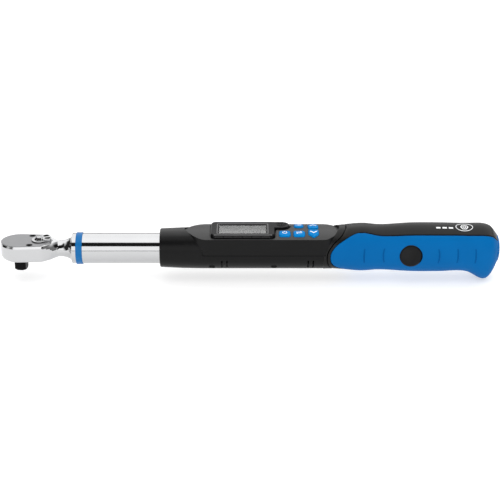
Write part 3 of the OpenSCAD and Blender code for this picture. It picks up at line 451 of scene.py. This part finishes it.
# ---- The CAD nodes: smooth shading, softened edges and materials ----
SOFT_EDGES = {  # the bevel's width in mm
    "head_body": 0.15, "tube": 0.1, "reversing_lever": 0.15, "drive_gear": 0.2, "cover_plate": 0.1,
    "lower_housing": 0.15, "upper_housing": 0.25, "bezel": 0.2, "load_plugs": 0.15,
    "battery_cap": 0.2, "colour_band": 0.1, "cover_screws": 0.08, "buzzer_grille": 0.08,
}
SHARP_ANGLE = {"handle_body": 38, "grip": 42, "handle_collar": 38}  # in degrees
USUAL_SHARP_ANGLE = 33
FLAT_ANGLE = 0.4
WELD_DISTANCE = 3e-6
CAD_NORMALS = ("custom_normal", "sharp_edge", "sharp_face")


def dress(name, obj):
    mesh = obj.data
    for attribute in CAD_NORMALS:
        if attribute in mesh.attributes:
            mesh.attributes.remove(mesh.attributes[attribute])
    weld = obj.modifiers.new("weld", "WELD")
    weld.merge_threshold = WELD_DISTANCE
    if name in SOFT_EDGES:
        flat = obj.modifiers.new("flat", "DECIMATE")
        flat.decimate_type = "DISSOLVE"
        flat.angle_limit = math.radians(FLAT_ANGLE)
        bevel = obj.modifiers.new("bevel", "BEVEL")
        bevel.width = SOFT_EDGES[name] * MM
        bevel.segments = 2
        bevel.limit_method = "ANGLE"
        bevel.angle_limit = math.radians(USUAL_SHARP_ANGLE)
        bevel.use_clamp_overlap = True
    split = obj.modifiers.new("split", "EDGE_SPLIT")
    split.split_angle = math.radians(SHARP_ANGLE.get(name, USUAL_SHARP_ANGLE))
    obj.modifiers.new("normals", "WEIGHTED_NORMAL").keep_sharp = True
    material = LEVER if name == "reversing_lever" else MATERIALS[SLOT_OF[name]]
    for slot in obj.material_slots:
        slot.material = material


for node_name, node_object in nodes.items():
    dress(node_name, node_object)


# ---- Ways to make pieces ----
def add_piece(name, bm, body, material):
    """Turns a mesh in the making into a finished piece on its body."""
    bmesh.ops.remove_doubles(bm, verts=bm.verts, dist=1e-7)
    bmesh.ops.recalc_face_normals(bm, faces=bm.faces)
    mesh = bpy.data.meshes.new(name)
    bm.to_mesh(mesh)
    bm.free()
    for polygon in mesh.polygons:
        polygon.use_smooth = True
    mesh.set_sharp_from_angle(angle=math.radians(35))
    obj = bpy.data.objects.new(name, mesh)
    scene.collection.objects.link(obj)
    mesh.materials.append(material)
    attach(obj, body)


def skin(bm, rings, closed=False):
    """Joins rings of vertices into a solid, with flat ends unless the rings close on themselves."""
    count = len(rings[0])
    for a, b in list(zip(rings, rings[1:])) + ([(rings[-1], rings[0])] if closed else []):
        for i in range(count):
            j = (i + 1) % count
            bm.faces.new((a[i], a[j], b[j], b[i]))
    if not closed:
        bm.faces.new(rings[0][::-1])
        bm.faces.new(rings[-1])


def arc(x, y, r, start, end, steps):
    """Points on a circle, from one angle in degrees to another."""
    points = []
    for i in range(steps + 1):
        angle = math.radians(start + (end - start) * i / steps)
        points.append((x + r * math.cos(angle), y + r * math.sin(angle)))
    return points


def oval(x, y, rx, ry, count):
    """Points round a closed ellipse, or the corners of a regular shape."""
    angles = [2 * math.pi * i / count for i in range(count)]
    return [(x + rx * math.cos(angle), y + ry * math.sin(angle)) for angle in angles]


def rounded(x0, x1, y0, y1, r, steps):
    """A rectangle's outline with round corners."""
    return (arc(x1 - r, y1 - r, r, 0, 90, steps) + arc(x0 + r, y1 - r, r, 90, 180, steps)
            + arc(x0 + r, y0 + r, r, 180, 270, steps) + arc(x1 - r, y0 + r, r, 270, 360, steps))


def stroke(points, width, closed=False):
    """The left and right edge points of a line of that width through 2-D points."""
    pts = [Vector(p) for p in points]
    n = len(pts)
    sides = []
    for i in range(n):
        before = pts[(i - 1) % n] if closed or i else pts[0]
        after = pts[(i + 1) % n] if closed or i < n - 1 else pts[-1]
        along = (after - before).normalized()
        normal = Vector((-along.y, along.x))
        if 0 < i < n - 1 or closed:
            step = (pts[i] - before).normalized()
            normal /= max(0.5, normal.dot(Vector((-step.y, step.x))))  # a mitre, up to twice as wide
        sides.append((pts[i] + normal * width / 2, pts[i] - normal * width / 2))
    return sides


def add_stroke(bm, points, width, z0, z1, closed=False):
    """A raised line of that width through 2-D points."""
    rings = []
    for left, right in stroke(points, width, closed):
        corners = ((*left, z0), (*left, z1), (*right, z1), (*right, z0))
        rings.append([bm.verts.new(corner) for corner in corners])
    skin(bm, rings, closed)


def surface_of(name):
    """A tree to find points on a CAD node's surface."""
    mesh = nodes[name].data
    vertices = [v.co.copy() for v in mesh.vertices]
    faces = [tuple(p.vertices) for p in mesh.polygons]
    return BVHTree.FromPolygons(vertices, faces)


# ---- The keys' printed symbols ----
SYMBOLS = {  # a key, the width of its lines and their points about its centre, in mm
    "key_power": (0.6, [arc(0, 0, 1.7, 125, 415, 20), [(0, 0.5), (0, 2.3)]]),
    "key_unit": (0.6, [[(-2.4, 0.75), (2.0, 0.75)], [(1.1, 1.95), (2.4, 0.75)],
                       [(2.4, -0.75), (-2.0, -0.75)], [(-1.1, -1.95), (-2.4, -0.75)]]),
    "key_set": (0.6, [[(x0, row), (x1, row)] for row in (-1.3, 0, 1.3)
                      for x0, x1 in ((-1.1, 2.4), (-2.5, -1.9))]),
    "key_up": (1.15, [[(-2.7, -1.4), (0, 1.3), (2.7, -1.4)]]),
    "key_down": (1.15, [[(-2.7, 1.4), (0, -1.3), (2.7, 1.4)]]),
}
SYMBOL_SHIFT = 0.9 * MM  # away from the near edge
INK_BELOW, INK_ABOVE = 0.1 * MM, 0.04 * MM
CROWN_RADIUS = 81.1 * MM  # of the keys' tops across the wrench
KEY_EDGE = 1.1 * MM


def key_symbol(key, width, lines):
    """A generic printed symbol, laid on the key's crowned top."""
    lo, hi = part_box(key)
    x = (lo.x + hi.x) / 2
    y = (lo.y + hi.y) / 2 + SYMBOL_SHIFT
    bm = bmesh.new()
    for line in lines:
        points = [(x + u * MM, y + v * MM) for u, v in line]
        add_stroke(bm, points, width * MM, hi.z - INK_BELOW, hi.z + INK_ABOVE)
    highest = min(abs(lo.y), abs(hi.y)) + KEY_EDGE
    for vertex in bm.verts:
        vertex.co.z -= (vertex.co.y ** 2 - highest ** 2) / (2 * CROWN_RADIUS)
    add_piece(key + "_symbol", bm, key, INK)


for key_name, (line_width, key_lines) in SYMBOLS.items():
    key_symbol(key_name, line_width, key_lines)


# ---- The bezel ----
def light_windows():
    """Six smoked light windows along the bezel's near wall."""
    lo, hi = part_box("bezel")
    count, width, gap = 6, 7.0 * MM, 0.7 * MM
    start = lo.x + 3.4 * MM
    z0, z1 = hi.z - 2.35 * MM, hi.z - 1.25 * MM
    corner = 0.35 * MM
    chamfer = 0.08 * MM
    # each ring's place from the wall's depth to its front, and how far it is drawn in
    depths = ((lo.y + 0.3 * MM, 0), (lo.y - 0.03 * MM, 0), (lo.y - 0.08 * MM, chamfer))
    bm = bmesh.new()
    for i in range(count):
        x0 = start + i * (width + gap)
        x1 = x0 + width
        cx, cz = (x0 + x1) / 2, (z0 + z1) / 2
        outline = rounded(x0, x1, z0, z1, corner, 4)
        rings = []
        for y, drawn_in in depths:
            ring = []
            for x, z in outline:
                inward_x = drawn_in * (1 if x > cx else -1)
                inward_z = drawn_in * (1 if z > cz else -1)
                ring.append(bm.verts.new((x - inward_x, y, z - inward_z)))
            rings.append(ring)
        skin(bm, rings)
    add_piece("bezel_light_windows", bm, "wrench_body", SMOKED)


def bezel_edge_highlight():
    """A painted highlight: a light grey strip along the rounded edge between the bezel's top and its
    near wall.
    """
    lo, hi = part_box("bezel")
    # in mm: the line's section, as (from the near wall, from the top), and its middle
    section = [(0.86, 0.03), (0.42, -0.46), (0.53, -0.56), (0.97, -0.07)]
    middle = Vector((0.7, -0.27))
    # in mm along the bezel, with the section's size there
    stations = ((2.6, 0.25), (3.0, 1), (50.4, 1), (50.8, 0.25))
    bm = bmesh.new()
    rings = []
    for along, size in stations:
        x = lo.x + along * MM
        ring = [middle + (Vector(p) - middle) * size for p in section]
        rings.append([bm.verts.new((x, lo.y + p.x * MM, hi.z + p.y * MM)) for p in ring])
    skin(bm, rings)
    add_piece("bezel_edge_highlight", bm, "wrench_body", PAINTED_HIGHLIGHT)


def window_frame_highlight():
    """A fine light grey frame round the display's window: a painted highlight round the window's edge.
    """
    lo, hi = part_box("lcd_window")
    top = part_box("bezel")[1].z
    beside, near, far = 1.0 * MM, 0.6 * MM, 1.2 * MM
    outline = rounded(lo.x - beside, hi.x + beside, lo.y - near, hi.y + far, 1.0 * MM, 5)
    bm = bmesh.new()
    add_stroke(bm, outline, 0.6 * MM, top - 0.2 * MM, top + 0.08 * MM, True)
    add_piece("window_frame_highlight", bm, "wrench_body", PAINTED_HIGHLIGHT)


light_windows()
bezel_edge_highlight()
window_frame_highlight()


# ---- The grip's ridges ----
RIDGE_PROFILE = [  # across the ridge and above the grip, in mm
    (-0.8, -0.1), (-0.65, 0.12), (-0.2, 0.32), (0.25, 0.36), (0.5, 0.2), (0.62, -0.12),
]
# Which way from the plug each ridge lies, and its radius about the plug in mm.
RIDGES = ((-1, 38.8), (-1, 22.8), (1, 23.4), (1, 38.8), (1, 53.4))
RIDGE_HALF_HEIGHT = 6.4 * MM
RIDGE_STEPS = 22
RIDGE_ROOT = 0.5 * MM  # how far it goes below the grip's surface
OUTSIDE = 0.06  # a distance from the middle that is clear of the grip


def grip_ridges(side):
    """Low curved ribs about the plug, blended into the grip's side, in a darker blue that is painted
    shade of their shadowed side.
    """
    tree = surface_of("grip")
    lo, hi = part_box("load_plugs")
    centre = (lo + hi) / 2
    bm = bmesh.new()
    for facing, radius in RIDGES:
        spread = math.asin(RIDGE_HALF_HEIGHT / (radius * MM))
        rings = []
        for i in range(RIDGE_STEPS + 1):
            f = 2 * i / RIDGE_STEPS - 1
            taper = max(0.0, 1 - f * f) ** 0.6
            row = []
            for across, lift in RIDGE_PROFILE:
                r = radius * MM + across * MM
                x = centre.x + facing * r * math.cos(spread * f)
                z = centre.z + r * math.sin(spread * f)
                place, normal, *_ = tree.ray_cast(Vector((x, side * OUTSIDE, z)), Vector((0, -side, 0)))
                if place is None:
                    row = None
                    break
                height = lift * MM * taper if lift > 0 else lift * MM
                row.append(place + normal * height * (1 if normal.y * side > 0 else -1))
            if row:
                root = [p - Vector((0, side * RIDGE_ROOT, 0)) for p in (row[-1], row[0])]
                rings.append([bm.verts.new(p) for p in row + root])
        skin(bm, rings)
    name = "grip_ridges_" + ("near" if side < 0 else "far")
    add_piece(name, bm, "wrench_body", RIDGE_PAINTED_SHADE)


grip_ridges(-1)
grip_ridges(1)


# ---- The badge on the handle's strip ----
BADGE_X, BADGE_Y = 0.3685, -0.0046
BADGE_PROUD, BADGE_DEPTH = 0.05 * MM, 0.25 * MM
BAR_COUNT, BAR_LENGTH, BAR_WIDTH = 3, 3.6, 1.8
BAR_FIRST, BAR_PITCH = 23.4, 5.2  # in mm, from the badge's middle towards the head, and between bars


def badge():
    """A printed oval with a plain hex nut in it and three short bars, laid on the handle's strip."""
    tree = surface_of("handle_body")
    x, y = BADGE_X, BADGE_Y
    lines = [  # points, width in mm and whether it is closed
        (oval(x, y, 6.9 * MM, 4.6 * MM, 36), 0.55, True),
        (oval(x, y, 3.0 * MM, 2.9 * MM, 6), 0.75, True),
        (oval(x, y, 1.25 * MM, 1.25 * MM, 16), 0.6, True),
    ]
    for i in range(BAR_COUNT):
        x0 = x - (BAR_FIRST - BAR_PITCH * i) * MM
        bar = [(x0 + BAR_LENGTH * MM * f / 4, y - 1.5 * MM) for f in range(5)]
        lines.append((bar, BAR_WIDTH, False))
    bm = bmesh.new()
    for points, width, closed in lines:
        rings = []
        for left, right in stroke(points, width * MM, closed):
            across = (left, (left * 2 + right) / 3, (left + right * 2) / 3, right)
            row = [tree.ray_cast(Vector((*p, 0.1)), Vector((0, 0, -1)))[0] for p in across]
            if None in row:
                continue
            top = [p + Vector((0, 0, BADGE_PROUD)) for p in row]
            under = [p - Vector((0, 0, BADGE_DEPTH)) for p in reversed(row)]
            rings.append([bm.verts.new(p) for p in top + under])
        skin(bm, rings, closed)
    add_piece("handle_badge", bm, "wrench_body", INK)


badge()


# ---- Floor ----
FLOOR_HALF = 6.0
FLOOR_GAP = 0.0003
FLOOR_GLOW = 0.56


def make_floor():
    lo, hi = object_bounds()
    bm = bmesh.new()
    corners = [(-1, -1), (1, -1), (1, 1), (-1, 1)]
    z = lo.z - FLOOR_GAP
    bm.faces.new([bm.verts.new((x * FLOOR_HALF, y * FLOOR_HALF, z)) for x, y in corners])
    mesh = bpy.data.meshes.new("floor")
    bm.to_mesh(mesh)
    bm.free()
    floor = bpy.data.objects.new("floor", mesh)
    scene.collection.objects.link(floor)
    m = Finish("floor", roughness=0.9, specular_ior_level=0.1,
               emission_color=(1, 1, 1), emission_strength=FLOOR_GLOW)
    m.set("base color", m.blend(m.noise(6, 3), (0.55, 0.55, 0.552), (0.58, 0.58, 0.58)))
    mesh.materials.append(m.material)


make_floor()
